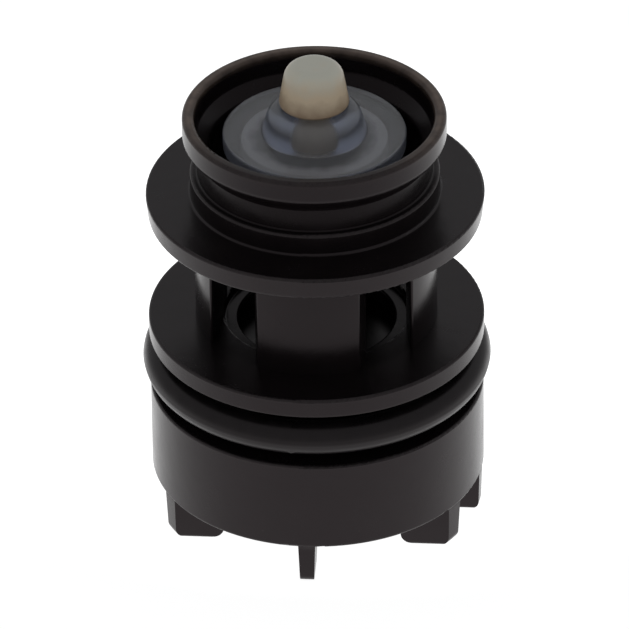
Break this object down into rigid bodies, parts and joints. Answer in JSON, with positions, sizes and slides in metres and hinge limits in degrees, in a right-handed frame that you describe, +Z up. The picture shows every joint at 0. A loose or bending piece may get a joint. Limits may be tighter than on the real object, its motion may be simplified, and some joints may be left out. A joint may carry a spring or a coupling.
{
  "type": "diverter valve cartridge",
  "caption": "Three-way diverter valve cartridge: black moulded body with two flanges and side windows, O-ring, silicone disc in an open top cup, and a sprung push stem.",
  "frame": {"origin": "on the valve's axis, in the plane that the feet stand on", "axes": "+Z up the axis towards the push stem's tip, -Y through the front foot and the middle of the front column"},
  "size_m": [0.0262, 0.0262, 0.038],
  "materials": {
    "body_black": "satin moulded, glass-filled",
    "seal_black": "moulded EPDM rubber",
    "silicone": "translucent moulded silicone",
    "stem_cream": "satin natural plastic",
    "carrier_natural": "satin natural plastic",
    "steel": "turned and pressed stainless steel",
    "spring_steel": "drawn stainless wire",
    "bush_white": "turned PTFE"
  },
  "bodies": {
    "housing": {"upper_body": "body_black", "lower_cage": "body_black", "main_o_ring": "seal_black", "return_spring": "spring_steel", "spring_washer": "steel", "upper_guide_bush": "bush_white", "lower_guide_bush": "bush_white"},
    "poppet": {"stem": "stem_cream", "upper_seal_disc": "silicone", "upper_disc_carrier": "carrier_natural", "spacer_sleeve": "steel", "lower_disc_washer": "steel", "lower_seal_disc": "seal_black", "lower_disc_carrier": "body_black", "spring_cup": "steel", "stem_clip": "spring_steel"}
  },
  "joints": [
    {"name": "stem_stroke", "type": "slide", "parent": "housing", "child": "poppet", "axis": [0, 0, -1], "range_m": [0, 0.003], "stiffness_N_per_m": 850, "springref_m": -0.004, "deforming": ["return_spring"]}
  ]
}
